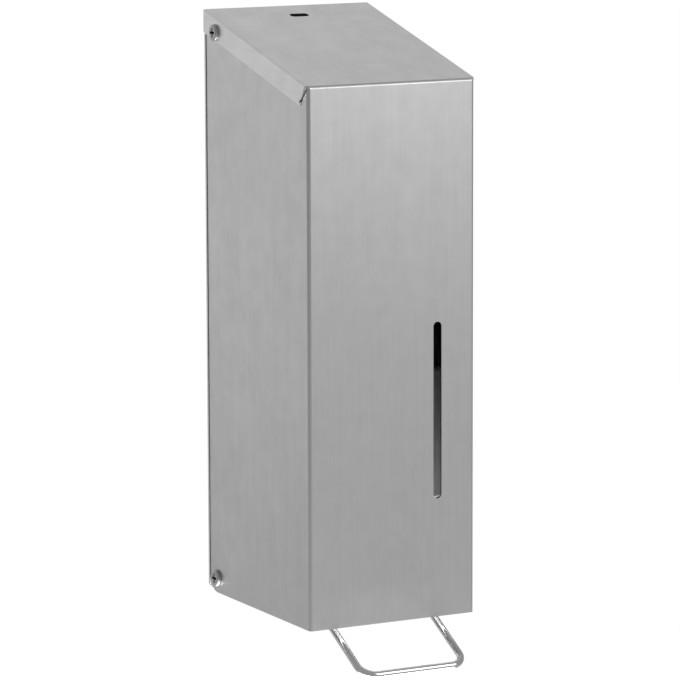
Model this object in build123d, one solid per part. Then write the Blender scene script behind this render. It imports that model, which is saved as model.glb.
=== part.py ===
from build123d import *
from math import atan2, cos, degrees, radians, sin, sqrt, tan
import os

os.makedirs("parts", exist_ok=True)

# Wall-mounted soap dispenser, in millimetres. X runs to the right seen from the front, Y towards the wall
# and Z up. Pieces are made with the wall at y = 0 and the hood's lower edge at z = 0, and are lowered when
# they are written, so that the origin is the middle of the four wall holes.

# Hood, folded from one sheet
hood_width = 103.0
hood_depth = 125.0
front_height = 299.0
rear_height = 332.7
sheet = 1.0
bend_radius = 1.8
flange_depth = 12.8
slit_length = 10.6
slit_width = 1.0
slit_start = 1.6
slit_angle = 49.0

# Sight slot in the front and key slot in the top
sight_width = 5.1
sight_length = 99.0
sight_x = 28.3
sight_bottom = 66.8
key_length = 11.6
key_width = 4.8
key_y = 16.0

# Back plate and its wall holes
plate = 1.5
plate_overhang = 0.4
plate_corner = 3.0
plate_foot = 1.0
wall_hole = 5.5
wall_hole_across = 60.0
wall_hole_up = 180.0
wall_hole_middle = 165.0

# Clearances
wall_gap = 0.3
body_gap = 0.5
head_gap = 0.25
pin_gap = 0.05
seat_gap = 0.3

# Pan screws, rivets and nuts
pan_head = 9.4
pan_height = 1.9
pan_round = 1.1
recess_length = 5.2
recess_width = 1.3
recess_depth = 1.2
screw = 5.0
nut_across = 8.0
nut_height = 4.0
rivet = 4.0
rivet_head = 7.0
rivet_height = 1.4

# Hinge at the foot of the plate
corner_radius = 8.5
pivot = 6.0
hinge_sheet = 2.0
hinge_washer = 0.5
hinge_washer_size = 11.0
hinge_foot_width = 18.0
hinge_height = 24.0
hinge_reach = 18.5

# Keeper under the top, and the latch that holds it
keeper_sheet = 1.5
keeper_screw_y = 15.0
keeper_screw_z = 320.5
keeper_web_y = 22.0
keeper_web_low = 305.0
keeper_ear_height = 11.0
keeper_rear = 8.0
keeper_window = 14.0
window_low = 308.5
window_high = 316.0
latch_pivot_y = 8.0
latch_pivot_z = 311.0
latch_pin_size = 4.0
latch_width = 12.0
latch_hub = 8.0
latch_arm = 3.0
latch_arm_drop = 0.8
latch_reach = 21.0
barb_height = 2.2
barb_length = 3.5
latch_sheet = 1.5
latch_base_width = 22.0
latch_base_low = 292.0
latch_ear_reach = 13.0
leaf = 0.5
leaf_width = 8.0
leaf_reach = 17.0
latch_rivet_up = 5.0

# Shelf
shelf_sheet = 1.5
shelf_top = 64.0
shelf_width = 88.0
shelf_reach = 103.0
shelf_flange = 28.0
shelf_cheek = 15.0
shelf_cheek_back = 8.0
shelf_corner = 6.0
shelf_rivet_across = 64.0
shelf_rivet_up = 12.0

# Reservoir and lid
tank_width = 82.0
tank_rear = 14.0
tank_front_room = 13.0
tank_height = 194.0
tank_wall = 1.8
tank_corner = 6.0
lid_thickness = 2.4
lid_overhang = 1.0
lid_skirt = 7.0
lid_skirt_wall = 1.6
lid_round = 1.0
lid_grip_length = 34.0
lid_grip_width = 5.0
lid_grip_height = 6.0

# Pump, on an upright axis
pump_y = 60.0
neck = 44.0
neck_wall = 4.0
neck_length = 16.0
seal_height = 1.0
flange_height = 2.5
nut_wall = 4.9
nut_floor = 2.5
nut_ribs = 24
nut_rib = 1.6
cylinder_bore = 24.0
cylinder_wall = 3.5
cylinder_top_wall = 4.0
inlet_port = 6.4
ball = 8.0
ball_travel = 1.2
cage_floor = 2.0
cage_bar = 1.8
cage_gap = 0.6
cage_inset = 2.0
stem = 12.0
stem_bore = 5.0
guide_gap = 0.1
guide_length = 2.5
guide_up = 6.8
collar = 28.0
collar_height = 3.0
piston_height = 6.0
piston_gap = 0.6
seal_groove = 3.0
seal_depth = 2.5
chamber_room = 3.6
skirt_gap = 1.5
spigot = 9.0
spigot_length = 6.0
nozzle_length = 11.3
nozzle_tip = 8.0
outlet = 4.4
outlet_floor = 2.0
valve_flange = 1.0
valve_room = 6.6
spring_wire = 1.5
spring_turns = 8
spring_clearance = 1.0

# Wire lever, its fork and what it turns on
lever_x = 32.0
wire = 4.0
wire_bend = 9.0
wire_corner_y = 150.5
wire_corner_z = -22.0
wire_rise = 28.3
lever_pivot_y = 94.0
lever_pivot_z = 17.0
lever_pin = 5.0
lever_angle = 17.0
cheek_width = 9.0
cheek_inner = 7.0
cheek_hub = 6.0
cheek_front = 14.5
cheek_depth = 4.3
cheek_lap = 10.0
socket_depth = 24.0
grub = 4.0
grub_recess = 0.6
fork_plate = 3.0
fork_front = 78.0
fork_rear = 53.5
fork_notch = 15.4
fork_ridge = 4.0
ridge_reach = 14.0
bracket_sheet = 1.5
bracket_low = 4.0
bracket_high = 38.0
ear_low = 7.0
ear_high = 28.0
ear_rear = 86.0
ear_step = 4.0
ear_run = 10.0
ear_round = 4.0
circlip = 0.8
circlip_size = 9.0
circlip_groove = 4.0
pin_end = 1.2
stud = 4.0
stud_across = 54.0
stud_low = 14.0
stud_up = 17.0
stud_length = 7.0
stud_nut_across = 7.0
stud_nut_height = 3.2

# Worked out from the sizes above
slope = (rear_height - front_height) / hood_depth
slope_angle = degrees(atan2(rear_height - front_height, hood_depth))
sheet_upright = sheet / cos(radians(slope_angle))
half_width = hood_width / 2
wall_inside = half_width - sheet
flange_outside = half_width + sheet
hood_rear = plate + body_gap
hinge_y = hood_rear + corner_radius
hinge_z = corner_radius
ear_face = wall_inside - hinge_washer - seat_gap
tank_front = hood_depth - sheet - tank_front_room
nut_outside = neck + 2 * (guide_gap + nut_wall)


def top_height(y):
    """Height of the hood's sloping top, a distance y in front of the wall."""
    return rear_height - slope * y


def write(name, shape):
    """Writes one node, lowered so that the wall holes' middle is the origin."""
    solids = shape.solids()
    placed = [Pos(0, 0, -wall_hole_middle) * solid for solid in solids]
    node = placed[0] if len(placed) == 1 else Compound(children=placed)
    export_step(node, f"parts/{name}.step")


def group(shapes):
    """Several separate solids as one node."""
    return Compound(children=[solid for shape in shapes for solid in shape.solids()])


def block(x1, x2, y1, y2, z1, z2):
    """A box from corner to corner, with y counted forwards from the wall."""
    return Pos((x1 + x2) / 2, -(y1 + y2) / 2, (z1 + z2) / 2) * Box(abs(x2 - x1), abs(y2 - y1), abs(z2 - z1))


def rod_x(x1, x2, y, z, size):
    """A round bar of a given diameter along X."""
    return Pos((x1 + x2) / 2, -y, z) * Rot(0, 90, 0) * Cylinder(size / 2, abs(x2 - x1))


def rod_y(y1, y2, x, z, size):
    """A round bar of a given diameter along Y."""
    return Pos(x, -(y1 + y2) / 2, z) * Rot(90, 0, 0) * Cylinder(size / 2, abs(y2 - y1))


def rod_z(z1, z2, size, x=0, y=pump_y):
    """An upright round bar of a given diameter, on the pump's axis if no place is given."""
    return Pos(x, -y, (z1 + z2) / 2) * Cylinder(size / 2, abs(z2 - z1))


def cone_z(z1, z2, size1, size2):
    """An upright cone on the pump's axis, from one diameter to another."""
    return Pos(0, -pump_y, (z1 + z2) / 2) * Cone(size1 / 2, size2 / 2, z2 - z1)


def side_outline(points, x1, x2):
    """A solid between two X planes, from its outline in the side view as (y from the wall, z) pairs."""
    outline = Polyline(*[Vector(x1, -y, z) for y, z in points], close=True)
    return extrude(make_face(outline), amount=x2 - x1, dir=(1, 0, 0))


def hexagon_x(x1, x2, y, z, across):
    """A hexagon nut's outline, extruded along X."""
    return Pos(min(x1, x2), -y, z) * Rot(0, 90, 0) * extrude(RegularPolygon(across / sqrt(3), 6), abs(x2 - x1))


def hexagon_y(y1, y2, x, z, across):
    """A hexagon nut's outline, extruded along Y."""
    return Pos(x, -min(y1, y2), z) * Rot(90, 0, 0) * extrude(RegularPolygon(across / sqrt(3), 6), abs(y2 - y1))


def edges_along(shape, axis, where):
    """Straight edges of a shape along an axis whose middle passes a test."""
    return [edge for edge in shape.edges().filter_by(axis) if where(edge.center())]


def pan_screw(side, seat_x, y, z, shank_size, shank_end, thread_size, thread_end):
    """A pan-head screw pointing inwards through one side of the hood, with a cross recess."""
    top_x = seat_x + pan_height
    head = rod_x(seat_x, top_x, y, z, pan_head)
    rim = head.edges().filter_by(GeomType.CIRCLE).sort_by(Axis.X)[-1]
    head = fillet(rim, pan_round)
    long_way = block(top_x - recess_depth, top_x + 1, y - recess_width / 2, y + recess_width / 2,
                     z - recess_length / 2, z + recess_length / 2)
    short_way = block(top_x - recess_depth, top_x + 1, y - recess_length / 2, y + recess_length / 2,
                      z - recess_width / 2, z + recess_width / 2)
    body = head - long_way - short_way
    body += rod_x(shank_end, seat_x, y, z, shank_size)
    body += rod_x(thread_end, shank_end, y, z, thread_size)
    return body if side > 0 else mirror(body, Plane.YZ)


def both_sides(shape):
    """A piece on the right and its mirror image on the left, as one node."""
    return group([shape, mirror(shape, Plane.YZ)])


def hood_shell():
    """Front, sides and sloping top folded from one sheet, with the top's flanges outside the sides."""
    profile = [(hood_depth, 0), (hood_rear, 0), (hood_rear, top_height(hood_rear)), (hood_depth, front_height)]
    outer = side_outline(profile, -half_width, half_width)
    front_edges = edges_along(outer, Axis.Z, lambda c: c.Y < -hood_depth + 1)
    across = edges_along(outer, Axis.X, lambda c: c.Y < -hood_depth + 1 and c.Z > front_height - 1)
    outer = fillet(front_edges + across, bend_radius)
    corner = edges_along(outer, Axis.X, lambda c: c.Y > -hood_rear - 1 and c.Z < 1)
    outer = fillet(corner, corner_radius)

    inside_front = hood_depth - sheet
    beyond = 2.0
    hollow = [(inside_front, -beyond), (-beyond, -beyond), (-beyond, top_height(-beyond) - sheet_upright),
              (inside_front, top_height(inside_front) - sheet_upright)]
    inner = side_outline(hollow, -wall_inside, wall_inside)
    front_edges = edges_along(inner, Axis.Z, lambda c: c.Y < -inside_front + 1)
    across = edges_along(inner, Axis.X, lambda c: c.Y < -inside_front + 1 and c.Z > front_height / 2)
    inner = fillet(front_edges + across, bend_radius - sheet)
    shell = outer - inner

    # The top runs on over the plate's upper edge, almost to the wall
    tongue = [(hood_rear, top_height(hood_rear)), (wall_gap, top_height(wall_gap)),
              (wall_gap, top_height(wall_gap) - sheet_upright), (hood_rear, top_height(hood_rear) - sheet_upright)]
    shell += side_outline(tongue, -half_width, half_width)

    # The top's flanges, closed down over the sides and ending in front at the corner slits
    corner_y = hood_depth - bend_radius
    run = slit_start + slit_length
    slit_run = run * cos(radians(slit_angle))
    flange = [(corner_y, top_height(corner_y)), (wall_gap, top_height(wall_gap)),
              (wall_gap, top_height(wall_gap) - flange_depth),
              (hood_depth - slit_run, top_height(hood_depth - slit_run) - flange_depth)]
    for side in (-1, 1):
        strip = side_outline(flange, half_width, flange_outside)
        fold = edges_along(strip, Axis((0, 0, 0), (0, -1, -slope)), lambda c: c.X > flange_outside - sheet / 2)
        fold = [edge for edge in fold if edge.center().Z > top_height(hood_depth / 2) - flange_depth / 2]
        strip = fillet(fold, sheet * 0.9)
        shell += strip if side > 0 else mirror(strip, Plane.YZ)

    # Diagonal relief slits in the two top front corners
    reach = slit_start + slit_length / 2
    slit_y = hood_depth - reach * cos(radians(slit_angle))
    slit_z = front_height - reach * sin(radians(slit_angle))
    slit = extrude(SlotOverall(slit_length, slit_width), 4 * sheet)
    turned = Rot(0, 90, 0) * Rot(0, 0, 90 - slit_angle) * slit
    for side in (-1, 1):
        shell -= Pos(side * half_width - 2 * sheet, -slit_y, slit_z) * turned

    # Sight slot, key slot and the holes for pivots and keeper screws
    sight = extrude(SlotOverall(sight_length, sight_width, rotation=90), 4 * sheet)
    shell -= Pos(sight_x, -hood_depth + 2 * sheet, sight_bottom + sight_length / 2) * Rot(90, 0, 0) * sight
    key = extrude(SlotOverall(key_length, key_width), 6 * sheet)
    shell -= Pos(0, -key_y, top_height(key_y) - 3 * sheet) * key
    shell -= rod_x(-flange_outside - 1, flange_outside + 1, hinge_y, hinge_z, pivot + 2 * pin_gap)
    shell -= rod_x(-flange_outside - 1, flange_outside + 1, keeper_screw_y, keeper_screw_z, screw + 2 * pin_gap)
    return shell


def back_plate():
    """Plate against the wall, a little wider than the hood's walls."""
    top = top_height(hood_rear) - sheet_upright - body_gap
    side = half_width + plate_overhang
    body = block(-side, side, 0, plate, plate_foot, top)
    body = fillet(body.edges().filter_by(Axis.Y), plate_corner)
    # Its upper corners stand back from the hood's flanges
    clear = half_width - body_gap
    low = rear_height - flange_depth - 2 * body_gap
    for edge in (-1, 1):
        body -= block(edge * clear, edge * (side + 1), -1, plate + 1, low, top + 1)
    for x in (-wall_hole_across / 2, wall_hole_across / 2):
        for z in (wall_hole_middle - wall_hole_up / 2, wall_hole_middle + wall_hole_up / 2):
            body -= rod_y(-1, plate + 1, x, z, wall_hole)
    for x, z in shelf_rivet_places() + latch_rivet_places():
        body -= rod_y(-1, plate + 1, x, z, rivet)
    return body


def shelf_rivet_places():
    """Where the shelf is riveted to the plate."""
    low = shelf_top - shelf_flange + (shelf_flange - shelf_rivet_up - shelf_sheet) / 2
    return [(x, z) for x in (-shelf_rivet_across / 2, shelf_rivet_across / 2) for z in (low, low + shelf_rivet_up)]


def latch_rivet_places():
    """Where the latch's bracket and leaf spring are riveted to the plate."""
    z = latch_base_low + latch_rivet_up
    offset = (latch_base_width - rivet_head) / 2 - 1
    return [(-offset, z), (offset, z)]


def hinge_brackets():
    """Two angle brackets whose ears stand just inside the hood's walls."""
    foot = block(ear_face - hinge_foot_width, ear_face, plate, plate + hinge_sheet, plate_foot + 0.5,
                 plate_foot + hinge_height)
    ear = block(ear_face - hinge_sheet, ear_face, plate, plate + hinge_reach, plate_foot + 0.5,
                plate_foot + hinge_height)
    ear_tip = edges_along(ear, Axis.X, lambda c: c.Y < -hinge_reach)
    ear = fillet(ear_tip, corner_radius - 2)
    body = foot + ear
    body -= rod_x(ear_face - hinge_sheet - 1, ear_face + 1, hinge_y, hinge_z, screw)
    return both_sides(body)


def hinge_screws():
    """Shouldered pan screws that the hood turns on."""
    seat = half_width + head_gap
    end = ear_face - hinge_sheet - nut_height - 1
    return group([pan_screw(side, seat, hinge_y, hinge_z, pivot, ear_face, screw, end) for side in (-1, 1)])


def hinge_nuts():
    """Hexagon nuts on the inner faces of the hinge ears."""
    face = ear_face - hinge_sheet
    nut = hexagon_x(face - nut_height, face, hinge_y, hinge_z, nut_across)
    nut -= rod_x(face - nut_height - 1, face + 1, hinge_y, hinge_z, screw)
    return both_sides(nut)


def hinge_washers():
    """Plastic washers on the pivots, between the hinge ears and the hood."""
    washer = rod_x(ear_face, ear_face + hinge_washer, hinge_y, hinge_z, hinge_washer_size)
    washer -= rod_x(ear_face - 1, ear_face + 1 + hinge_washer, hinge_y, hinge_z, pivot)
    return both_sides(washer)


def keeper_bracket():
    """Cross strip under the top: a web with the keeper's window, and an ear along each side wall."""
    web_high = top_height(keeper_web_y + keeper_sheet) - sheet_upright - body_gap
    body = block(-wall_inside, wall_inside, keeper_web_y, keeper_web_y + keeper_sheet, keeper_web_low, web_high)
    ear_high = top_height(keeper_web_y) - sheet_upright - body_gap
    for side in (-1, 1):
        ear = block(side * (wall_inside - keeper_sheet), side * wall_inside, keeper_rear,
                    keeper_web_y + keeper_sheet, ear_high - keeper_ear_height, ear_high)
        body += ear
    body -= block(-keeper_window / 2, keeper_window / 2, keeper_web_y - 1, keeper_web_y + keeper_sheet + 1,
                  window_low, window_high)
    body -= rod_x(-wall_inside - 1, wall_inside + 1, keeper_screw_y, keeper_screw_z, screw)
    return body


def keeper_screws():
    """Pan screws through flange, side and keeper ear."""
    end = wall_inside - keeper_sheet - nut_height - 1
    return group([pan_screw(side, flange_outside, keeper_screw_y, keeper_screw_z, screw, half_width, screw, end)
                  for side in (-1, 1)])


def keeper_nuts():
    """Hexagon nuts on the inner faces of the keeper's ears."""
    face = wall_inside - keeper_sheet
    nut = hexagon_x(face - nut_height, face, keeper_screw_y, keeper_screw_z, nut_across)
    nut -= rod_x(face - nut_height - 1, face + 1, keeper_screw_y, keeper_screw_z, screw)
    return both_sides(nut)


def latch_bracket():
    """Base on the plate with two ears that carry the latch's pin."""
    inside = latch_width / 2 + seat_gap
    high = latch_pivot_z + latch_hub / 2 + 1
    body = block(-latch_base_width / 2, latch_base_width / 2, plate, plate + latch_sheet, latch_base_low, high)
    for side in (-1, 1):
        body += block(side * inside, side * (inside + latch_sheet), plate, plate + latch_ear_reach,
                      latch_pivot_z - latch_hub / 2 - 1, high)
    for x, z in latch_rivet_places():
        body -= rod_y(0, plate + latch_sheet + 1, x, z, rivet)
    reach = inside + latch_sheet + 1
    body -= rod_x(-reach, reach, latch_pivot_y, latch_pivot_z, latch_pin_size)
    return body


def latch_pin():
    """Pin across the bracket's ears, riveted over at both ends."""
    end = latch_width / 2 + seat_gap + latch_sheet
    body = rod_x(-end, end, latch_pivot_y, latch_pivot_z, latch_pin_size)
    for side in (-1, 1):
        body += rod_x(side * end, side * (end + 1), latch_pivot_y, latch_pivot_z, latch_pin_size + 2)
    return body


def latch_lever():
    """Hook under the key slot, drawn pressed down until it just clears the keeper."""
    arm_low = latch_pivot_z - latch_arm_drop
    arm_high = arm_low + latch_arm
    tip = latch_pivot_y + latch_reach
    barb_rear = tip - barb_length
    outline = [(latch_pivot_y, arm_low), (tip, arm_low), (tip, arm_high),
               (barb_rear + 1, arm_high + barb_height), (barb_rear, arm_high + barb_height),
               (barb_rear, arm_high), (latch_pivot_y, arm_high)]
    body = side_outline(outline, -latch_width / 2, latch_width / 2)
    body += rod_x(-latch_width / 2, latch_width / 2, latch_pivot_y, latch_pivot_z, latch_hub)
    body -= rod_x(-latch_width, latch_width, latch_pivot_y, latch_pivot_z, latch_pin_size + 2 * pin_gap)
    return body


def latch_spring():
    """Bent leaf under the latch, held by the bracket's rivets."""
    front = plate + latch_sheet
    low = latch_base_low + 1
    bend = latch_base_low + 2 * latch_rivet_up
    touch = latch_pivot_z - latch_arm_drop - seat_gap
    outline = [(front, low), (front + leaf, low), (front + leaf, bend), (leaf_reach, touch - leaf),
               (leaf_reach, touch), (front, bend + 1.5 * leaf)]
    width = latch_base_width / 2 - 0.5
    body = side_outline(outline, -leaf_width / 2, leaf_width / 2)
    body += block(-width, width, front, front + leaf, low, bend)
    for x, z in latch_rivet_places():
        body -= rod_y(front - 1, front + leaf + 1, x, z, rivet)
    return body


def rivets(places, front):
    """Rivets flush with the wall face, with low round heads in front."""
    made = []
    for x, z in places:
        head = rod_y(front, front + rivet_height, x, z, rivet_head)
        rim = head.edges().filter_by(GeomType.CIRCLE).sort_by(Axis.Y)[0]
        made.append(fillet(rim, rivet_height * 0.6) + rod_y(0, front, x, z, rivet))
    return group(made)


def pump_shelf():
    """Bent shelf whose fork holds the reservoir's neck, with a flange on the plate and two stiff cheeks."""
    under = shelf_top - shelf_sheet
    body = block(-shelf_width / 2, shelf_width / 2, plate, shelf_reach, under, shelf_top)
    body = fillet(edges_along(body, Axis.Z, lambda c: c.Y < -shelf_reach + 1), shelf_corner)
    notch = neck + 2 * nut_rib
    body -= rod_z(under - 1, shelf_top + 1, notch)
    body -= block(-notch / 2, notch / 2, pump_y, shelf_reach + 1, under - 1, shelf_top + 1)
    body += block(-shelf_width / 2, shelf_width / 2, plate, plate + shelf_sheet, shelf_top - shelf_flange, shelf_top)
    for side in (-1, 1):
        outer = side * shelf_width / 2
        body += block(outer - side * shelf_sheet, outer, plate, shelf_reach - shelf_cheek_back,
                      shelf_top - shelf_cheek, shelf_top)
    for x, z in shelf_rivet_places():
        body -= rod_y(0, plate + shelf_sheet + 1, x, z, rivet)
    return body


def reservoir():
    """Open-topped tank with a neck in its floor."""
    top = shelf_top + tank_height
    body = block(-tank_width / 2, tank_width / 2, tank_rear, tank_front, shelf_top, top)
    body = fillet(body.edges().filter_by(Axis.Z), tank_corner)
    body = fillet(body.faces().sort_by(Axis.Z)[0].edges(), tank_wall)
    hollow = block(-tank_width / 2 + tank_wall, tank_width / 2 - tank_wall, tank_rear + tank_wall,
                   tank_front - tank_wall, shelf_top + tank_wall, top + 1)
    hollow = fillet(hollow.edges().filter_by(Axis.Z), tank_corner - tank_wall)
    body -= hollow
    body += rod_z(shelf_top - neck_length, shelf_top + tank_wall, neck)
    body -= rod_z(shelf_top - neck_length - 1, shelf_top + tank_wall + 1, neck - 2 * neck_wall)
    return body


def reservoir_lid():
    """Lift-off lid with a skirt inside the tank's rim and a grip on top."""
    rim = shelf_top + tank_height
    out = lid_overhang
    plate_body = block(-tank_width / 2 - out, tank_width / 2 + out, tank_rear - out, tank_front + out, rim,
                       rim + lid_thickness)
    plate_body = fillet(plate_body.edges().filter_by(Axis.Z), tank_corner + out)
    plate_body = fillet(plate_body.faces().sort_by(Axis.Z)[-1].edges(), lid_round)
    inset = tank_wall + seat_gap
    skirt = block(-tank_width / 2 + inset, tank_width / 2 - inset, tank_rear + inset, tank_front - inset,
                  rim - lid_skirt, rim)
    skirt = fillet(skirt.edges().filter_by(Axis.Z), tank_corner - inset)
    inset += lid_skirt_wall
    core = block(-tank_width / 2 + inset, tank_width / 2 - inset, tank_rear + inset, tank_front - inset,
                 rim - lid_skirt - 1, rim)
    core = fillet(core.edges().filter_by(Axis.Z), tank_corner - inset)
    middle = (tank_rear + tank_front) / 2
    grip = block(-lid_grip_length / 2, lid_grip_length / 2, middle - lid_grip_width / 2,
                 middle + lid_grip_width / 2, rim + lid_thickness / 2, rim + lid_thickness + lid_grip_height)
    grip = fillet(grip.edges().filter_by(Axis.Z), lid_grip_width * 0.4)
    return plate_body + (skirt - core) + grip


# Heights on the pump's axis, upwards from the fork that lifts the plunger
fork_height = lever_pivot_z - (lever_pivot_y - pump_y) * tan(radians(lever_angle / 2))
collar_low = fork_height + fork_ridge / 2 + seat_gap
collar_high = collar_low + collar_height
arm_length = (lever_pivot_y - pump_y) / cos(radians(lever_angle / 2))
stroke = 2 * arm_length * sin(radians(lever_angle / 2))
skirt_low = collar_high + stroke + skirt_gap
seal_low = shelf_top - neck_length - seal_height
flange_low = seal_low - flange_height
guide_high = seal_low + guide_up
guide_low = guide_high - guide_length
piston_low = guide_high + seat_gap
piston_high = piston_low + piston_height
cage_low = piston_high + stroke + chamber_room
seat_height = cage_low + cage_floor + ball + ball_travel - (ball / 2 - sqrt(ball ** 2 - inlet_port ** 2) / 2)
cylinder_top = seat_height + cylinder_top_wall


def pump_nut():
    """Ribbed nut that clamps the cylinder's flange to the reservoir's neck."""
    low = flange_low - nut_floor
    high = shelf_top - shelf_sheet - 2 * seat_gap
    body = rod_z(low, high, nut_outside)
    body = fillet(body.edges().filter_by(GeomType.CIRCLE), 1.0)
    for step in range(nut_ribs):
        rib_place = Rot(0, 0, 360 / nut_ribs * step) * Pos(nut_outside / 2, 0, 0)
        groove = Pos(0, -pump_y, (low + high) / 2) * rib_place * Cylinder(nut_rib / 2, high - low + 2)
        body -= groove
    body -= rod_z(flange_low, high + 1, neck + 2 * guide_gap)
    body -= rod_z(low - 1, flange_low + 1, cylinder_bore + 2 * cylinder_wall + 2 * guide_gap)
    return body


def neck_seal():
    """Flat seal between the neck and the cylinder's flange."""
    body = rod_z(seal_low, seal_low + seal_height, neck)
    return body - rod_z(seal_low - 1, seal_low + seal_height + 1, neck - 2 * neck_wall)


def pump_cylinder():
    """Cylinder with a flange at the neck, a guide for the stem, a spring skirt and the inlet port."""
    outside = cylinder_bore + 2 * cylinder_wall
    body = rod_z(skirt_low, cylinder_top, outside)
    body += rod_z(flange_low, seal_low, neck)
    body -= rod_z(skirt_low - 1, guide_low, cylinder_bore)
    body -= rod_z(guide_high, seat_height, cylinder_bore)
    body -= rod_z(guide_low - 1, guide_high + 1, stem + 2 * guide_gap)
    body -= rod_z(seat_height - 1, cylinder_top + 1, inlet_port)
    return body


def inlet_cage():
    """Cage pressed into the cylinder's top, with crossed bars that the inlet ball rests on."""
    height = seat_height - cage_low
    body = rod_z(cage_low, seat_height, cylinder_bore)
    body -= rod_z(cage_low - 1, seat_height + 1, ball + 2 * cage_gap)
    bars = block(-cylinder_bore / 4, cylinder_bore / 4, pump_y - cage_bar / 2, pump_y + cage_bar / 2, cage_low,
                 cage_low + cage_floor)
    bars += block(-cage_bar / 2, cage_bar / 2, pump_y - cylinder_bore / 4, pump_y + cylinder_bore / 4, cage_low,
                  cage_low + cage_floor)
    for step in range(4):
        turn = Rot(0, 0, 45 + 90 * step) * Pos(cylinder_bore / 2 - cage_inset, 0, 0)
        body -= Pos(0, -pump_y, cage_low + height / 2) * turn * Cylinder(cage_bar, height + 2)
    return body + bars


def inlet_ball():
    """Ball that floats up to the port when the chamber is under pressure."""
    return Pos(0, -pump_y, cage_low + cage_floor + ball / 2 + 0.02) * Sphere(ball / 2)


def plunger():
    """Hollow stem with a lifting collar below and the piston above."""
    body = rod_z(collar_low, piston_low, stem)
    ring = rod_z(collar_low, collar_high, collar)
    body += fillet(ring.edges().filter_by(GeomType.CIRCLE), 0.6)
    body += rod_z(piston_low, piston_high, cylinder_bore - 2 * piston_gap)
    groove_low = piston_low + (piston_height - seal_groove) / 2
    body -= (rod_z(groove_low, groove_low + seal_groove, cylinder_bore + 1)
             - rod_z(groove_low - 1, groove_low + seal_groove + 1, cylinder_bore - 2 * seal_depth))
    body += rod_z(collar_low - spigot_length, collar_low, spigot)
    body -= rod_z(collar_low - spigot_length - 1, piston_high + 1, stem_bore)
    return body


def piston_seal():
    """Rubber ring in the piston's groove."""
    low = piston_low + (piston_height - seal_groove) / 2
    body = rod_z(low, low + seal_groove, cylinder_bore - 2 * pin_gap)
    body = fillet(body.edges().filter_by(GeomType.CIRCLE), 0.6)
    return body - rod_z(low - 1, low + seal_groove + 1, cylinder_bore - 2 * seal_depth)


def return_spring():
    """Coil between the plunger's collar and the stem guide."""
    low = collar_high + spring_wire / 2
    high = guide_low - spring_wire / 2
    radius = cylinder_bore / 2 - spring_clearance - spring_wire / 2
    path = Pos(0, -pump_y, low) * Helix((high - low) / spring_turns, high - low, radius)
    start = path @ 0
    section = Plane(start, z_dir=path % 0) * Circle(spring_wire / 2)
    return sweep(section, path=path, is_frenet=True)


def nozzle():
    """Tapered outlet pushed on to the plunger's spigot."""
    low = collar_low - nozzle_length
    straight = collar_low - spigot_length
    body = rod_z(straight, collar_low, stem)
    body += cone_z(low, straight, nozzle_tip, stem)
    body -= rod_z(straight, collar_low + 1, spigot)
    body -= rod_z(low + outlet_floor, straight + 1, valve_room)
    body -= rod_z(low - 1, low + outlet_floor + 1, outlet)
    return body


def outlet_valve():
    """Soft slit valve held between the spigot and the nozzle."""
    top = collar_low - spigot_length
    tip = collar_low - nozzle_length + outlet_floor + 0.4
    body = rod_z(top - valve_flange, top, valve_room)
    body += cone_z(tip, top - valve_flange, outlet * 0.4, stem_bore)
    body -= cone_z(tip + 1.2, top, outlet * 0.1, stem_bore * 0.6)
    slit = block(-outlet / 2, outlet / 2, pump_y - 0.15, pump_y + 0.15, tip - 1, tip + 1.6)
    return body - slit


def leg_point(along):
    """A point on the wire's leg line, a distance up from its lower corner."""
    return (wire_corner_y - along * cos(radians(wire_rise)), wire_corner_z + along * sin(radians(wire_rise)))


socket_start = (wire_corner_y - (lever_pivot_y + cheek_front)) / cos(radians(wire_rise))
wire_end = socket_start + socket_depth


def lever_wire():
    """Polished wire bent to a loop, with its two ends in the fork's sockets."""
    end_y, end_z = leg_point(wire_end)
    corners = [Vector(-lever_x, -end_y, end_z), Vector(-lever_x, -wire_corner_y, wire_corner_z),
               Vector(lever_x, -wire_corner_y, wire_corner_z), Vector(lever_x, -end_y, end_z)]
    path = FilletPolyline(*corners, radius=wire_bend)
    section = Plane(path @ 0, z_dir=path % 0) * Circle(wire / 2)
    return sweep(section, path=path)


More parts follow.
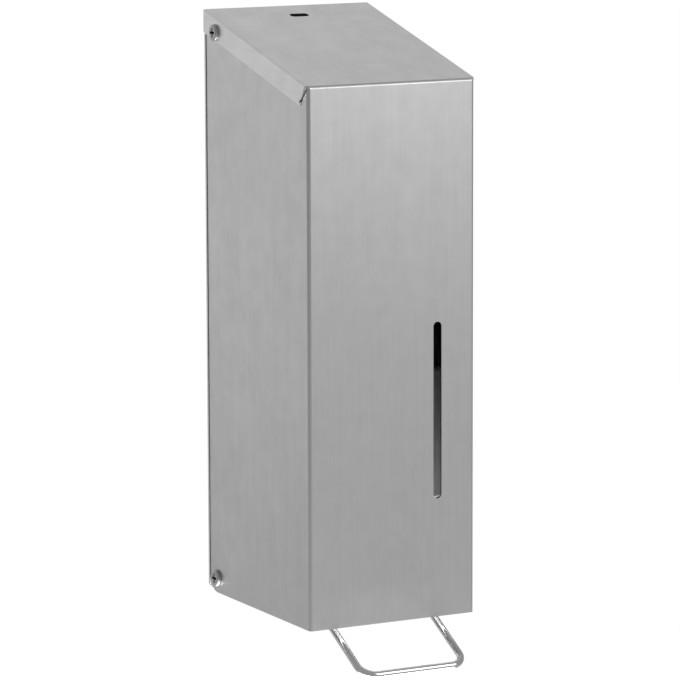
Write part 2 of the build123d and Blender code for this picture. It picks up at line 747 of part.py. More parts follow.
def lever_rocker():
    """Moulded rocker: a cheek on each leg of the wire, and a fork that straddles the nozzle."""
    front_y, front_z = leg_point(socket_start)
    side = [(front_y, front_z - cheek_depth), (front_y, front_z + cheek_depth),
            (lever_pivot_y + cheek_hub, lever_pivot_z + cheek_hub - 1),
            (lever_pivot_y + cheek_hub - 2, lever_pivot_z + cheek_hub + 1),
            (lever_pivot_y - cheek_hub + 2, lever_pivot_z + cheek_hub + 1),
            (lever_pivot_y - cheek_hub - 1, lever_pivot_z + cheek_hub - 2),
            (fork_front - cheek_lap, fork_height + fork_ridge / 2 - 0.5),
            (fork_front - cheek_lap, fork_height - fork_plate),
            (lever_pivot_y - 2, fork_height - fork_plate)]
    body = None
    for side_sign in (-1, 1):
        inner = side_sign * (lever_x - cheek_inner)
        outer = side_sign * (lever_x + cheek_width / 2)
        cheek = side_outline(side, min(inner, outer), max(inner, outer))
        body = cheek if body is None else body + cheek
    inside = lever_x - cheek_inner
    web_low = fork_height - fork_plate
    web = block(-inside, inside, fork_rear, fork_front, web_low, fork_height)
    web -= block(-fork_notch / 2, fork_notch / 2, fork_rear - 1, pump_y, web_low - 1, fork_height + 1)
    web -= rod_z(web_low - 1, fork_height + 1, fork_notch)
    body += web
    body += block(-inside, inside, fork_front - 3, fork_front, web_low, lever_pivot_z)
    for side_sign in (-1, 1):
        body += rod_x(side_sign * (fork_notch / 2 + 0.5), side_sign * ridge_reach, pump_y, fork_height, fork_ridge)
    for side_sign in (-1, 1):
        middle_y, middle_z = leg_point(socket_start + socket_depth / 2 - 1)
        drill = Rot(90 + wire_rise, 0, 0) * Cylinder(wire / 2, socket_depth + 2)
        body -= Pos(side_sign * lever_x, -middle_y, middle_z) * drill
        grub_y, grub_z = leg_point(socket_start + grub)
        body -= rod_x(side_sign * (lever_x - cheek_inner - 1), side_sign * lever_x, grub_y, grub_z, grub)
    body -= rod_x(-half_width, half_width, lever_pivot_y, lever_pivot_z, lever_pin + 2 * pin_gap)
    return body


def lever_grub_screws():
    """Set screws through the cheeks' inner faces that hold the wire."""
    made = []
    y, z = leg_point(socket_start + grub)
    for side in (-1, 1):
        outer = side * (lever_x - cheek_inner + grub_recess)
        body = rod_x(outer, side * (lever_x - wire / 2), y, z, grub)
        recess = hexagon_x(outer - 1, outer + 1, y, z, grub / 2)
        made.append(body - recess)
    return group(made)


ear_inner = lever_x + cheek_width / 2 + body_gap
ear_outer = ear_inner + bracket_sheet


def lever_bracket():
    """Bent bracket on the inside of the front, with an ear each side for the lever's pin."""
    front = hood_depth - sheet
    body = block(-ear_outer, ear_outer, front - bracket_sheet, front, bracket_low, bracket_high)
    for side in (-1, 1):
        ear = [(front, ear_low), (front, bracket_high - ear_step), (front - ear_run, ear_high), (ear_rear, ear_high),
               (ear_rear, ear_low)]
        low, high = sorted((side * ear_inner, side * ear_outer))
        plate_ear = side_outline(ear, low, high)
        tip = edges_along(plate_ear, Axis.X, lambda c: c.Y > -ear_rear - 1)
        body += fillet(tip, ear_round)
    body -= rod_x(-half_width, half_width, lever_pivot_y, lever_pivot_z, lever_pin)
    for x, z in stud_places():
        body -= rod_y(front - bracket_sheet - 1, front + 1, x, z, stud)
    return body


def stud_places():
    """Where the bracket's studs are welded inside the front."""
    return [(x, z) for x in (-stud_across / 2, stud_across / 2) for z in (stud_low, stud_low + stud_up)]


def bracket_studs():
    """Studs welded to the inside of the hood's front."""
    front = hood_depth - sheet
    return group([rod_y(front - stud_length, front, x, z, stud) for x, z in stud_places()])


def bracket_nuts():
    """Nuts on the studs."""
    front = hood_depth - sheet - bracket_sheet
    made = []
    for x, z in stud_places():
        nut = hexagon_y(front - stud_nut_height, front, x, z, stud_nut_across)
        made.append(nut - rod_y(front - stud_nut_height - 1, front + 1, x, z, stud))
    return group(made)


def pivot_pin():
    """Pin across the bracket's ears, with a groove for a circlip at each end."""
    end = ear_outer + circlip + pin_end
    body = rod_x(-end, end, lever_pivot_y, lever_pivot_z, lever_pin)
    for side in (-1, 1):
        ring = rod_x(side * ear_outer, side * (ear_outer + circlip), lever_pivot_y, lever_pivot_z, lever_pin + 2)
        core = rod_x(side * (ear_outer - 1), side * end, lever_pivot_y, lever_pivot_z, circlip_groove)
        body -= ring - core
    return body


def pin_circlips():
    """Circlips in the pin's grooves, open at the top."""
    clip = rod_x(ear_outer, ear_outer + circlip, lever_pivot_y, lever_pivot_z, circlip_size)
    clip -= rod_x(ear_outer - 1, ear_outer + circlip + 1, lever_pivot_y, lever_pivot_z, circlip_groove)
    gap = circlip_groove * 0.35
    clip -= block(ear_outer - 1, ear_outer + circlip + 1, lever_pivot_y - gap, lever_pivot_y + gap, lever_pivot_z,
                  lever_pivot_z + circlip_size)
    return both_sides(clip)


write("back_plate", back_plate())
write("hinge_brackets", hinge_brackets())
write("hinge_screws", hinge_screws())
write("hinge_nuts", hinge_nuts())
write("hinge_washers", hinge_washers())
write("latch_bracket", latch_bracket())
write("latch_pin", latch_pin())
write("latch_lever", latch_lever())
write("latch_spring", latch_spring())
write("latch_rivets", rivets(latch_rivet_places(), plate + latch_sheet + leaf))
write("pump_shelf", pump_shelf())
write("shelf_rivets", rivets(shelf_rivet_places(), plate + shelf_sheet))
write("reservoir", reservoir())
write("reservoir_lid", reservoir_lid())
write("pump_nut", pump_nut())
write("neck_seal", neck_seal())
write("pump_cylinder", pump_cylinder())
write("inlet_cage", inlet_cage())
write("inlet_ball", inlet_ball())
write("plunger", plunger())
write("piston_seal", piston_seal())
write("return_spring", return_spring())
write("nozzle", nozzle())
write("outlet_valve", outlet_valve())
write("hood_shell", hood_shell())
write("keeper_bracket", keeper_bracket())
write("keeper_screws", keeper_screws())
write("keeper_nuts", keeper_nuts())
write("lever_bracket", lever_bracket())
write("bracket_studs", bracket_studs())
write("bracket_nuts", bracket_nuts())
write("pivot_pin", pivot_pin())
write("pin_circlips", pin_circlips())
write("lever_rocker", lever_rocker())
write("lever_wire", lever_wire())
write("lever_grub_screws", lever_grub_screws())

print("coupling, metres per radian:", round(stroke / radians(lever_angle) / 1000, 5))
print("stroke:", round(stroke, 3), "fork height:", round(fork_height, 3), "nozzle tip:",
      round(collar_low - nozzle_length, 3), "cylinder top:", round(cylinder_top, 2))
print("hinge at", -hinge_y, hinge_z - wall_hole_middle, "wire's lowest point:", wire_corner_z - wire / 2)
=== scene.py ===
from math import cos, pi, radians, sin

import bpy
from mathutils import Matrix, Vector


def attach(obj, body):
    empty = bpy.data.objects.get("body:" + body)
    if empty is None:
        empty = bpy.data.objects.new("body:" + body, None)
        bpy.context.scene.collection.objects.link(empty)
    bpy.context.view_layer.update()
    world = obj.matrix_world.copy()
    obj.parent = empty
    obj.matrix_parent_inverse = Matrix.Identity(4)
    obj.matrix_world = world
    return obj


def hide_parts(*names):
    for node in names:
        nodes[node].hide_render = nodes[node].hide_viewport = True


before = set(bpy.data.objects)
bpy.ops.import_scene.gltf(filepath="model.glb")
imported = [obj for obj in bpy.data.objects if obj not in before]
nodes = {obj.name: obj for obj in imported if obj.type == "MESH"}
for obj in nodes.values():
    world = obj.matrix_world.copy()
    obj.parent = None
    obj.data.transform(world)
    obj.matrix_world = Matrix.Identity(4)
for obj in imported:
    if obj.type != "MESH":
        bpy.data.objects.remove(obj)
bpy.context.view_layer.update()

scene = bpy.context.scene

# The camera stands a little above the hood's middle, to the left of it and more than two metres away, as
# the converging edges in the photograph ask.
camera_place = Vector((-1.0665, -2.0789, 0.341))
camera_yaw = radians(27.89)
camera_pitch = radians(8.89)
camera_roll = radians(-0.2)
camera_data = bpy.data.cameras.new("camera")
camera_data.sensor_width = 36.0
camera_data.lens = 217.96
camera = bpy.data.objects.new("camera", camera_data)
sight_line = Vector((sin(camera_yaw) * cos(camera_pitch),
                     cos(camera_yaw) * cos(camera_pitch),
                     -sin(camera_pitch)))
turned = sight_line.to_track_quat("-Z", "Y").to_matrix().to_4x4() @ Matrix.Rotation(camera_roll, 4, "Z")
camera.matrix_world = Matrix.Translation(camera_place) @ turned
scene.collection.objects.link(camera)
scene.camera = camera
scene.view_settings.view_transform = "Standard"


# The room is a pale studio: a white floor well below the dispenser, and a world that is white to the camera
# and dim grey to the metal. Two soft lamps stand to the right of the camera. The object's side and top mirror
# a wide bright backdrop and a weak lamp behind it, and one lamp below shines up into the hood.
def new_material(name):
    """A material with its Principled shader, ready for more nodes."""
    material = bpy.data.materials.new(name)
    material.use_nodes = True
    tree = material.node_tree
    tree.nodes.clear()
    shader = tree.nodes.new("ShaderNodeBsdfPrincipled")
    output = tree.nodes.new("ShaderNodeOutputMaterial")
    tree.links.new(shader.outputs["BSDF"], output.inputs["Surface"])
    return material, tree, shader


def add_node(tree, kind, **values):
    """A node whose sockets or properties are set by name."""
    node = tree.nodes.new(kind)
    for key, value in values.items():
        socket = node.inputs.get(key.replace("_", " "))
        if socket is None:
            setattr(node, key, value)
        else:
            socket.default_value = value
    return node


def calculate(tree, operation, first, second=None, third=None):
    """A Math node whose inputs are numbers or sockets."""
    node = tree.nodes.new("ShaderNodeMath")
    node.operation = operation
    for index, value in enumerate((first, second, third)):
        if value is None:
            continue
        if isinstance(value, (int, float)):
            node.inputs[index].default_value = value
        else:
            tree.links.new(value, node.inputs[index])
    return node.outputs[0]


white = (1, 1, 1, 1)
room_strength = 0.34
world = bpy.data.worlds.new("studio")
scene.world = world
world.use_nodes = True
world_tree = world.node_tree
world_tree.nodes.clear()
world_out = world_tree.nodes.new("ShaderNodeOutputWorld")
room_light = add_node(world_tree, "ShaderNodeBackground", Color=white, Strength=room_strength)
white_light = add_node(world_tree, "ShaderNodeBackground", Color=white, Strength=1.0)
world_mix = world_tree.nodes.new("ShaderNodeMixShader")
world_path = world_tree.nodes.new("ShaderNodeLightPath")
world_tree.links.new(world_path.outputs["Is Camera Ray"], world_mix.inputs["Fac"])
world_tree.links.new(room_light.outputs["Background"], world_mix.inputs[1])
world_tree.links.new(white_light.outputs["Background"], world_mix.inputs[2])
world_tree.links.new(world_mix.outputs["Shader"], world_out.inputs["Surface"])

floor_depth = 0.55
floor_half = 30.0
floor_glow = 1.06
floor_glow_share = 0.93
floor_mesh = bpy.data.meshes.new("floor")
floor_corners = [(x * floor_half, y * floor_half, -floor_depth)
                 for x, y in ((-1, -1), (1, -1), (1, 1), (-1, 1))]
floor_mesh.from_pydata(floor_corners, [], [(0, 1, 2, 3)])
floor = bpy.data.objects.new("floor", floor_mesh)
scene.collection.objects.link(floor)
floor_paint, tree, shader = new_material("floor_paint")
shader.inputs["Base Color"].default_value = (0.82, 0.82, 0.82, 1)
shader.inputs["Roughness"].default_value = 0.9
path = tree.nodes.new("ShaderNodeLightPath")
glow = add_node(tree, "ShaderNodeEmission", Color=white, Strength=floor_glow)
blend_in = tree.nodes.new("ShaderNodeMixShader")
seen = calculate(tree, "MULTIPLY", path.outputs["Is Camera Ray"], floor_glow_share)
tree.links.new(seen, blend_in.inputs["Fac"])
tree.links.new(shader.outputs["BSDF"], blend_in.inputs[1])
tree.links.new(glow.outputs["Emission"], blend_in.inputs[2])
tree.links.new(blend_in.outputs["Shader"], tree.nodes["Material Output"].inputs["Surface"])
floor_mesh.materials.append(floor_paint)


def soft_lamp(name, place, aim, size, power):
    """A square area lamp that faces a point of the dispenser."""
    data = bpy.data.lights.new(name, "AREA")
    data.shape = "SQUARE"
    data.size = size
    data.energy = power
    lamp = bpy.data.objects.new(name, data)
    direction = Vector(aim) - Vector(place)
    turned = direction.to_track_quat("-Z", "Y").to_matrix().to_4x4()
    lamp.matrix_world = Matrix.Translation(Vector(place)) @ turned
    lamp.visible_camera = False
    scene.collection.objects.link(lamp)


lamp_aim = (0, -0.06, 0)
soft_lamp("lamp_front_right", (1.0, -1.8, 0.6), lamp_aim, 1.0, 6.2)
soft_lamp("lamp_front_near", (0.45, -0.85, 0.4), lamp_aim, 0.5, 1.07)
soft_lamp("lamp_backdrop", (0.0, 2.2, 0.5), lamp_aim, 4.0, 21.63)
soft_lamp("lamp_back_left", (-0.9, 1.5, 0.1), lamp_aim, 1.2, 0.79)
soft_lamp("lamp_under", (0.0, -0.08, -0.5), lamp_aim, 0.5, 6.8)


# Brushed stainless: fine scratches all one way, up and down on the walls and front to back on the top, over
# a soft unevenness of the sheet. The group gives a shade, a roughness and a height that change over it.
def new_group(name, inputs, outputs):
    """A shader node group with named number and vector sockets."""
    group = bpy.data.node_groups.new(name, "ShaderNodeTree")
    for label, kind, value in inputs:
        socket = group.interface.new_socket(name=label, in_out="INPUT", socket_type=kind)
        if value is not None:
            socket.default_value = value
    for label, kind in outputs:
        group.interface.new_socket(name=label, in_out="OUTPUT", socket_type=kind)
    return group, group.nodes.new("NodeGroupInput"), group.nodes.new("NodeGroupOutput")


def noise(tree, vector, scale, detail=2.0, roughness=0.5):
    """A noise texture's value."""
    node = add_node(tree, "ShaderNodeTexNoise", Scale=scale, Detail=detail, Roughness=roughness)
    tree.links.new(vector, node.inputs["Vector"])
    return node.outputs["Fac"]


def stretched(tree, vector, scale):
    """A vector multiplied along each axis."""
    node = add_node(tree, "ShaderNodeMapping", vector_type="POINT")
    node.inputs["Scale"].default_value = scale
    tree.links.new(vector, node.inputs["Vector"])
    return node.outputs["Vector"]


def centred(tree, value, amount):
    """A 0 to 1 value turned to a small swing about nothing."""
    return calculate(tree, "MULTIPLY", calculate(tree, "SUBTRACT", value, 0.5), amount)


FLOAT = "NodeSocketFloat"
VECTOR = "NodeSocketVector"
hair_scale = (1500, 1500, 30)
streak_scale = (420, 420, 16)
band_scale = (110, 110, 12)
blotch_scale = 90.0
cloud_scale = 22.0
shade_swing = 0.17
roughness_swing = -0.06
brushed, group_in, group_out = new_group(
    "brushed_grain",
    [("Vector", VECTOR, None), ("Depth", FLOAT, 1.0), ("Blotches", FLOAT, 1.0)],
    [("Shade", FLOAT), ("Roughness", FLOAT), ("Height", FLOAT)])
grain_vector = group_in.outputs["Vector"]
hair = noise(brushed, stretched(brushed, grain_vector, hair_scale), 1.0, 3.0, 0.6)
streak = noise(brushed, stretched(brushed, grain_vector, streak_scale), 1.0, 3.0, 0.6)
band = noise(brushed, stretched(brushed, grain_vector, band_scale), 1.0, 2.0, 0.5)
blotch = noise(brushed, grain_vector, blotch_scale, 3.0, 0.6)
cloud = noise(brushed, grain_vector, cloud_scale, 2.0, 0.5)
fine = calculate(brushed, "ADD", centred(brushed, hair, 0.6), centred(brushed, streak, 0.4))
broad = calculate(brushed, "ADD", centred(brushed, blotch, 0.8), centred(brushed, cloud, 0.4))
broad = calculate(brushed, "ADD", broad, centred(brushed, band, 0.3))
fine_part = calculate(brushed, "MULTIPLY", fine, group_in.outputs["Depth"])
broad_part = calculate(brushed, "MULTIPLY", broad, group_in.outputs["Blotches"])
both = calculate(brushed, "ADD", fine_part, broad_part)
brushed.links.new(calculate(brushed, "MULTIPLY_ADD", both, shade_swing, 1.0), group_out.inputs["Shade"])
brushed.links.new(calculate(brushed, "MULTIPLY", both, roughness_swing), group_out.inputs["Roughness"])
brushed.links.new(calculate(brushed, "ADD", fine_part, 0.5), group_out.inputs["Height"])


def object_parts(tree):
    """Object coordinates, and the same as three numbers."""
    place = tree.nodes.new("ShaderNodeTexCoord").outputs["Object"]
    parts = tree.nodes.new("ShaderNodeSeparateXYZ")
    tree.links.new(place, parts.inputs[0])
    return place, parts.outputs["X"], parts.outputs["Y"], parts.outputs["Z"]


def choose_vector(tree, factor, first, second):
    """The first vector where the factor is 0, the second where it is 1."""
    choose = add_node(tree, "ShaderNodeMix", data_type="VECTOR")
    tree.links.new(factor, choose.inputs["Factor"])
    vectors = [socket for socket in choose.inputs if socket.type == "VECTOR" and socket.name in ("A", "B")]
    tree.links.new(first, vectors[0])
    tree.links.new(second, vectors[1])
    return [socket for socket in choose.outputs if socket.type == "VECTOR"][0]


hood_half = 0.0515
hood_depth = 0.125
sheet = 0.001
level_enough = 0.6
flanges_above = 0.1
# How much lighter the top sheet and its side flanges are painted: painted light for the upward-facing top.
top_painted_light = 0.21


def top_sheet(tree, across, upwards):
    """1 on the hood's sloping top and on its side flanges, 0 on the walls."""
    facing = tree.nodes.new("ShaderNodeSeparateXYZ")
    tree.links.new(tree.nodes.new("ShaderNodeNewGeometry").outputs["Normal"], facing.inputs[0])
    level = calculate(tree, "GREATER_THAN", calculate(tree, "ABSOLUTE", facing.outputs["Z"]), level_enough)
    outside = calculate(tree, "GREATER_THAN", calculate(tree, "ABSOLUTE", across), hood_half + 0.2 * sheet)
    high = calculate(tree, "GREATER_THAN", upwards, flanges_above)
    return calculate(tree, "MAXIMUM", level, calculate(tree, "MULTIPLY", outside, high))


def steel(name, colour, roughness, depth=1.0, blotches=1.0, bump=0.00001, hood=False):
    """A metal with brushed grain in its colour, roughness and relief."""
    material, tree, shader = new_material(name)
    grain = tree.nodes.new("ShaderNodeGroup")
    grain.node_tree = brushed
    grain.inputs["Depth"].default_value = depth
    grain.inputs["Blotches"].default_value = blotches
    place, across, forwards, upwards = object_parts(tree)
    shade = grain.outputs["Shade"]
    if hood:
        swapped = tree.nodes.new("ShaderNodeCombineXYZ")
        for socket, part in zip(swapped.inputs, (across, upwards, forwards)):
            tree.links.new(part, socket)
        on_top = top_sheet(tree, across, upwards)
        place = choose_vector(tree, on_top, place, swapped.outputs[0])
        # The top sheet and its side flanges are made lighter here: painted light for the top's upward face.
        shade = calculate(tree, "MULTIPLY", shade, calculate(tree, "MULTIPLY_ADD", on_top, top_painted_light, 1.0))
    tree.links.new(place, grain.inputs["Vector"])
    tint = add_node(tree, "ShaderNodeVectorMath", operation="SCALE")
    tint.inputs[0].default_value = colour
    tree.links.new(shade, tint.inputs["Scale"])
    tree.links.new(tint.outputs[0], shader.inputs["Base Color"])
    uneven = calculate(tree, "ADD", grain.outputs["Roughness"], roughness)
    tree.links.new(uneven, shader.inputs["Roughness"])
    relief = add_node(tree, "ShaderNodeBump", Strength=0.3, Distance=bump)
    tree.links.new(grain.outputs["Height"], relief.inputs["Height"])
    tree.links.new(relief.outputs["Normal"], shader.inputs["Normal"])
    shader.inputs["Metallic"].default_value = 1.0
    return material


def dress(node_name, material, others=()):
    """Gives a node of the frame its material, and other ones to the faces that pass their tests."""
    mesh = nodes[node_name].data
    mesh.materials.clear()
    mesh.materials.append(material)
    for other, _ in others:
        mesh.materials.append(other)
    for face in mesh.polygons:
        face.material_index = 0
        for index, (_, test) in enumerate(others):
            if test(face.center, face.normal):
                face.material_index = index + 1
                break


# The hood is one folded stainless sheet, satin brushed outside and left as rolled inside. Its slots are cut
# before folding, and the faces of their edges are painted near black, a painted shade. It hangs on its two
# lower screws.
hood_steel = steel("hood_steel", (0.60, 0.60, 0.605), 0.42, hood=True)
hood_inside = steel("hood_inside", (0.50, 0.50, 0.505), 0.55, 0.5, 1.2)
# Near black on the faces of the slots' edges: painted shade, where the dark inside of the hood shows.
slot_edge_painted_shade = steel("slot_edge_painted_shade", (0.03, 0.029, 0.028), 0.6, 0.3, 1.0)


top_rear = 0.1677
top_slope = 0.2696
slot_x = 0.0283
slot_half = 0.0028
slot_low = -0.1
slot_high = 0.002
key_y = -0.016
key_half_length = 0.0063
key_half_width = 0.003
inner_skin = 0.9 * sheet


def top_at(y):
    """Height of the hood's sloping top at a Y, in the frame's coordinates."""
    return top_rear + top_slope * y


def is_cut(place, normal):
    """Faces in the thickness of the sheet round the sight slot and the key slot."""
    in_slot = abs(place.x - slot_x) < slot_half and slot_low < place.z < slot_high
    if in_slot and -hood_depth < place.y < -hood_depth + sheet and abs(normal.y) < 0.3:
        return True
    in_key = abs(place.x) < key_half_length and abs(place.y - key_y) < key_half_width
    return in_key and abs(place.z - top_at(place.y)) < 1.5 * sheet and abs(normal.z) < 0.4


def is_inside(place, normal):
    """Faces on the inner side of the hood."""
    within = abs(place.x) < hood_half - inner_skin and place.y > -hood_depth + inner_skin
    return within and place.z < top_at(place.y) - inner_skin


dress("hood_shell", hood_steel, [(slot_edge_painted_shade, is_cut), (hood_inside, is_inside)])

# The plate on the wall, the shelf and the brackets are cut and bent from plain stainless, less finely
# brushed than the hood, and riveted or screwed together. The faces in the thickness of the plate's long
# edges are painted light, a painted highlight.
plate_steel = steel("plate_steel", (0.50, 0.50, 0.505), 0.46, 0.7, 0.8)
for name in ("hinge_brackets", "latch_bracket", "pump_shelf", "keeper_bracket", "lever_bracket",
             "latch_lever"):
    dress(name, plate_steel)
# Light colour on the faces of the plate's long edges: a painted highlight.
plate_edge_painted_highlight = steel("plate_edge_painted_highlight", (0.78, 0.78, 0.785), 0.5, 0.3, 0.5)
edge_beyond = 0.05


def is_plate_edge(place, normal):
    """Faces in the thickness of the plate, down its two long sides."""
    return abs(normal.x) > 0.7 and abs(place.x) > edge_beyond


dress("back_plate", plate_steel, [(plate_edge_painted_highlight, is_plate_edge)])

# Screws, rivets, nuts and pins are bright plated steel, a little dulled by handling; the cross recesses of
# the pan screws on the hood are painted near black, a painted shade, and their heads are as dull as the
# sheet.
screw_steel = steel("screw_steel", (0.58, 0.58, 0.585), 0.32, 0.3, 0.8)
head_steel = steel("head_steel", (0.46, 0.46, 0.465), 0.5, 0.3, 0.8)
# Near black inside the cross recesses: painted shade.
recess_painted_shade = steel("recess_painted_shade", (0.05, 0.05, 0.05), 0.6, 0.3, 1.0)


recess_rim = 0.0001
recess_floor = 0.0015
recess_half = 0.00275
hinge_screw = (0.05365, -0.0105, -0.1565)
keeper_screw = (0.0544, -0.015, 0.1555)


def recess_test(screw):
    """A test for faces down inside a cross recess, from the X of a head's top and the screw's Y and Z."""
    top_x, screw_y, screw_z = screw

    def test(place, normal):
        reach = max(abs(place.y - screw_y), abs(place.z - screw_z))
        return top_x - recess_floor < abs(place.x) < top_x - recess_rim and reach < recess_half
    return test


dress("hinge_screws", head_steel, [(recess_painted_shade, recess_test(hinge_screw))])
dress("keeper_screws", head_steel, [(recess_painted_shade, recess_test(keeper_screw))])
for name in ("hinge_nuts", "keeper_nuts", "bracket_studs", "bracket_nuts", "latch_rivets", "shelf_rivets",
             "latch_pin", "pivot_pin", "inlet_ball"):
    dress(name, screw_steel)

# The coil that pushes the plunger down and the leaf under the latch are drawn and stamped spring steel,
# darker than the screws, and so are the clips on the pivot pin and the grub screws that hold the wire.
spring_steel = steel("spring_steel", (0.42, 0.42, 0.43), 0.3, 0.4, 0.8)
for name in ("latch_spring", "return_spring", "pin_circlips", "lever_grub_screws"):
    dress(name, spring_steel)


# The lever is one length of polished round stainless wire, bent square at its two lower corners; its ends
# sit in the rocker's sockets.
def new_piece(name, verts, faces, material, body, smooth=True):
    """A finished piece that moves with one of the bodies."""
    mesh = bpy.data.meshes.new(name)
    mesh.from_pydata([tuple(vert) for vert in verts], [], faces)
    mesh.materials.append(material)
    for face in mesh.polygons:
        face.use_smooth = smooth and len(face.vertices) == 4
    mesh.update()
    piece = bpy.data.objects.new(name, mesh)
    scene.collection.objects.link(piece)
    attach(piece, body)
    return piece


def tube(points, radius, sides=28):
    """Vertices and faces of a round bar along a path of points."""
    verts, faces = [], []
    side_way = Vector((0, 0, 1))
    for index, point in enumerate(points):
        before = points[max(index - 1, 0)]
        after = points[min(index + 1, len(points) - 1)]
        forward = (after - before).normalized()
        side_way = (side_way - forward * side_way.dot(forward)).normalized()
        other_way = forward.cross(side_way)
        for step in range(sides):
            turn = 2 * pi * step / sides
            verts.append(point + radius * (cos(turn) * side_way + sin(turn) * other_way))
        if index:
            low = (index - 1) * sides
            faces += [(low + k, low + (k + 1) % sides, low + sides + (k + 1) % sides, low + sides + k)
                      for k in range(sides)]
    faces.append(tuple(reversed(range(sides))))
    faces.append(tuple(range(len(verts) - sides, len(verts))))
    return verts, faces


wire_half = 0.032
wire_radius = 0.002
wire_bend = 0.009
wire_rise = radians(28.3)
wire_length = 0.0717
leg_steps = 7
bend_steps = 20
corner = Vector((0, -0.1505, -0.187))
leg_way = Vector((0, cos(wire_rise), sin(wire_rise)))
right_way = Vector((1, 0, 0))
half_path = []
for step in range(leg_steps + 1):
    along = wire_length + (wire_bend - wire_length) * step / leg_steps
    half_path.append(corner + wire_half * right_way + along * leg_way)
for step in range(1, bend_steps + 1):
    turn = pi / 2 * step / bend_steps
    middle = corner + (wire_half - wire_bend) * right_way + wire_bend * leg_way
    half_path.append(middle + wire_bend * (cos(turn) * right_way - sin(turn) * leg_way))
mirrored = [Vector((-point.x, point.y, point.z)) for point in reversed(half_path)]
bright_wire = steel("bright_wire", (0.78, 0.78, 0.79), 0.12, 0.1, 0.2)
wire_verts, wire_faces = tube(half_path + mirrored, wire_radius)
wire_piece = new_piece("wire_loop", wire_verts, wire_faces, bright_wire, "lever")
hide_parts("lever_wire")
dress("lever_wire", bright_wire)


# The reservoir is blow moulded of smoky see-through plastic. Soap has left a pale film in its lower part,
# up to an uneven line; the film is painted lighter towards the bottom, a painted shade for light from below;
# the lid is milky.
def plastic(name, colour, roughness, texture=900.0, bump=0.00002, milky=0.0):
    """A moulded plastic with fine texture and slight unevenness of tone."""
    material, tree, shader = new_material(name)
    place = tree.nodes.new("ShaderNodeTexCoord").outputs["Object"]
    fine = noise(tree, place, texture, 2.0, 0.5)
    cloud = noise(tree, place, 40.0, 3.0, 0.5)
    tint = add_node(tree, "ShaderNodeVectorMath", operation="SCALE")
    tint.inputs[0].default_value = colour
    tree.links.new(calculate(tree, "ADD", centred(tree, cloud, 0.14), 1.0), tint.inputs["Scale"])
    tree.links.new(tint.outputs[0], shader.inputs["Base Color"])
    tree.links.new(calculate(tree, "ADD", centred(tree, fine, 0.12), roughness), shader.inputs["Roughness"])
    relief = add_node(tree, "ShaderNodeBump", Strength=0.5, Distance=bump)
    tree.links.new(fine, relief.inputs["Height"])
    tree.links.new(relief.outputs["Normal"], shader.inputs["Normal"])
    if milky:
        shader.inputs["Subsurface Weight"].default_value = milky
        shader.inputs["Subsurface Radius"].default_value = (0.004, 0.004, 0.004)
    return material, tree, shader, tint


def ramp(tree, value, start, end, low, high):
    """A number that goes from one value to another between two places."""
    node = tree.nodes.new("ShaderNodeMapRange")
    for label, number in (("From Min", start), ("From Max", end), ("To Min", low), ("To Max", high)):
        node.inputs[label].default_value = number
    tree.links.new(value, node.inputs["Value"])
    return node.outputs["Result"]


film_line = (-0.0262, -0.0300)
painted_underlight_heights = (-0.028, -0.095)
wave_height = 0.004
tank_plastic, tree, shader, tint = plastic("tank_plastic", (0.72, 0.72, 0.70), 0.25)
place, _, _, upwards = object_parts(tree)
wavy = calculate(tree, "ADD", upwards, centred(tree, noise(tree, place, 60.0, 2.0, 0.5), wave_height))
film = ramp(tree, wavy, *film_line, 0.0, 1.0)
# The film's tint is painted darker upwards and lighter downwards: painted light and shade for light coming up
# from the hood's open bottom.
painted_underlight = ramp(tree, upwards, *painted_underlight_heights, 0.45, 1.0)
cloud_and_painted_underlight = calculate(tree, "MULTIPLY", tint.inputs["Scale"].links[0].from_socket, painted_underlight)
tree.links.new(cloud_and_painted_underlight, tint.inputs["Scale"])
smoke = add_node(tree, "ShaderNodeBsdfTransparent", Color=(0.52, 0.52, 0.52, 1))
see_through = tree.nodes.new("ShaderNodeMixShader")
tree.links.new(calculate(tree, "MULTIPLY_ADD", film, -0.88, 0.93), see_through.inputs["Fac"])
tree.links.new(shader.outputs["BSDF"], see_through.inputs[1])
tree.links.new(smoke.outputs["BSDF"], see_through.inputs[2])
tree.links.new(see_through.outputs["Shader"], tree.nodes["Material Output"].inputs["Surface"])
dress("reservoir", tank_plastic)

lid_plastic = plastic("lid_plastic", (0.74, 0.74, 0.72), 0.42, milky=0.3)[0]
dress("reservoir_lid", lid_plastic)


# Level ridges stand out of the reservoir's front in a ladder, and finer ones on both sides of the lid's
# grip, where a thumb takes hold. They are moulded in; each ladder is one bar repeated at an even step.
def ladder_group():
    """Geometry nodes that repeat a piece a number of times at a step."""
    group = bpy.data.node_groups.new("ladder", "GeometryNodeTree")
    for label, kind in (("Geometry", "NodeSocketGeometry"), ("Count", "NodeSocketInt"), ("Step", VECTOR),
                        ("Material", "NodeSocketMaterial")):
        group.interface.new_socket(name=label, in_out="INPUT", socket_type=kind)
    group.interface.new_socket(name="Geometry", in_out="OUTPUT", socket_type="NodeSocketGeometry")
    start = group.nodes.new("NodeGroupInput")
    end = group.nodes.new("NodeGroupOutput")
    line = group.nodes.new("GeometryNodeMeshLine")
    line.mode = "OFFSET"
    spread = group.nodes.new("GeometryNodeInstanceOnPoints")
    real = group.nodes.new("GeometryNodeRealizeInstances")
    paint = group.nodes.new("GeometryNodeSetMaterial")
    group.links.new(start.outputs["Count"], line.inputs["Count"])
    group.links.new(start.outputs["Step"], line.inputs["Offset"])
    group.links.new(line.outputs["Mesh"], spread.inputs["Points"])
    group.links.new(start.outputs["Geometry"], spread.inputs["Instance"])
    group.links.new(spread.outputs["Instances"], real.inputs["Geometry"])
    group.links.new(real.outputs["Geometry"], paint.inputs["Geometry"])
    group.links.new(start.outputs["Material"], paint.inputs["Material"])
    group.links.new(paint.outputs["Geometry"], end.inputs["Geometry"])
    return group


ladder = ladder_group()


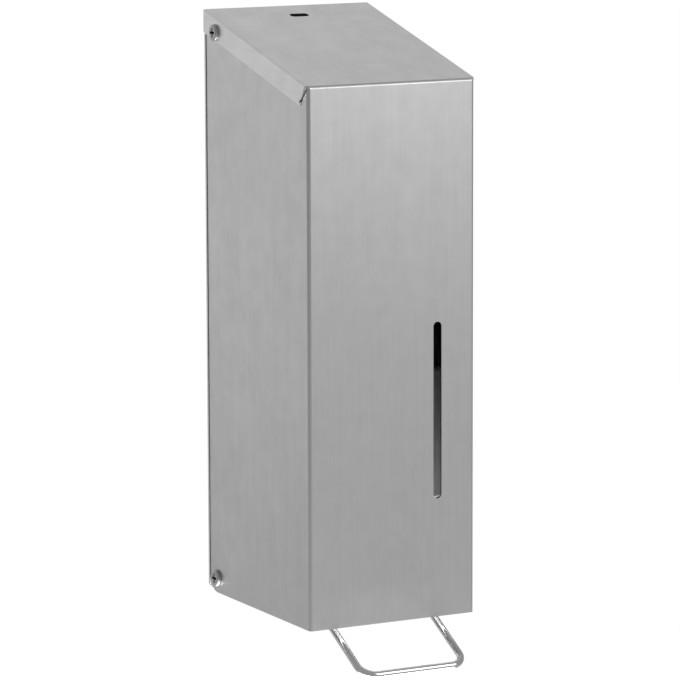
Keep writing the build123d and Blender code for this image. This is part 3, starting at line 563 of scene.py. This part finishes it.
def repeated(name, verts, faces, count, step, material, body):
    """A piece repeated by the ladder, made a plain mesh, on one of the bodies."""
    mesh = bpy.data.meshes.new(name + "_one")
    mesh.from_pydata([tuple(vert) for vert in verts], [], faces)
    source = bpy.data.objects.new(name + "_one", mesh)
    scene.collection.objects.link(source)
    modifier = source.modifiers.new("ladder", "NODES")
    modifier.node_group = ladder
    values = {"Count": count, "Step": step, "Material": material}
    for item in ladder.interface.items_tree:
        if item.in_out == "INPUT" and item.name in values:
            modifier[item.identifier] = values[item.name]
    bpy.context.view_layer.update()
    plain = bpy.data.meshes.new_from_object(source.evaluated_get(bpy.context.evaluated_depsgraph_get()))
    source.modifiers.remove(modifier)
    bpy.data.objects.remove(source)
    piece = bpy.data.objects.new(name, plain)
    scene.collection.objects.link(piece)
    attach(piece, body)
    return piece


def rounded_bar(x1, x2, y, z, out, half):
    """A bar along X with a half-round face towards -Y, or +Y if out is negative."""
    turns = [pi * step / 8 for step in range(1, 8)]
    profile = [(y, z - half)]
    profile += [(y - out * sin(turn), z - half * cos(turn)) for turn in turns]
    profile.append((y, z + half))
    count = len(profile)
    verts = [Vector((x, *pair)) for x in (x1, x2) for pair in profile]
    faces = [(k, k + 1, count + k + 1, count + k) for k in range(count - 1)]
    faces += [tuple(reversed(range(count))), tuple(range(count, 2 * count))]
    return verts, faces


tank_front = -0.111
level_ends = (-0.034, -0.022)
level_lowest = -0.085
level_count = 9
level_step = (0, 0, 0.018)
verts, faces = rounded_bar(*level_ends, tank_front, level_lowest, 0.0009, 0.0008)
repeated("level_ridges", verts, faces, level_count, level_step, tank_plastic, "back")

grip_middle = -0.0625
grip_half = 0.0025
grip_reach = 0.0145
grip_lowest = 0.0964
grip_ridge = 0.0005
grip_count = 4
grip_step = (0, 0, 0.0015)
for label, side in (("front", 1), ("rear", -1)):
    grip_side = grip_middle - side * grip_half
    verts, faces = rounded_bar(-grip_reach, grip_reach, grip_side, grip_lowest,
                               side * grip_ridge, grip_ridge)
    repeated("grip_ridges_" + label, verts, faces, grip_count, grip_step, lid_plastic, "back")

# The pump is screwed on to the reservoir's neck. Its pieces and the hinge washers are white mouldings, and
# the rocker that the wire sits in is moulded in black, with a fine spark finish.
pump_plastic = plastic("pump_plastic", (0.76, 0.76, 0.74), 0.38)[0]
for name in ("pump_nut", "pump_cylinder", "inlet_cage", "plunger", "nozzle", "hinge_washers"):
    dress(name, pump_plastic)

rocker_plastic = plastic("rocker_plastic", (0.035, 0.035, 0.038), 0.45, 1400.0, 0.00003)[0]
dress("lever_rocker", rocker_plastic)

# The two seals, one between the reservoir's neck and the pump and one in the piston's groove, are black
# nitrile. The outlet valve, a slit disc held between plunger and nozzle, is pale silicone.
seal_rubber = plastic("seal_rubber", (0.03, 0.03, 0.03), 0.65)[0]
for name in ("neck_seal", "piston_seal"):
    dress(name, seal_rubber)

valve_rubber = plastic("valve_rubber", (0.62, 0.61, 0.58), 0.5)[0]
dress("outlet_valve", valve_rubber)
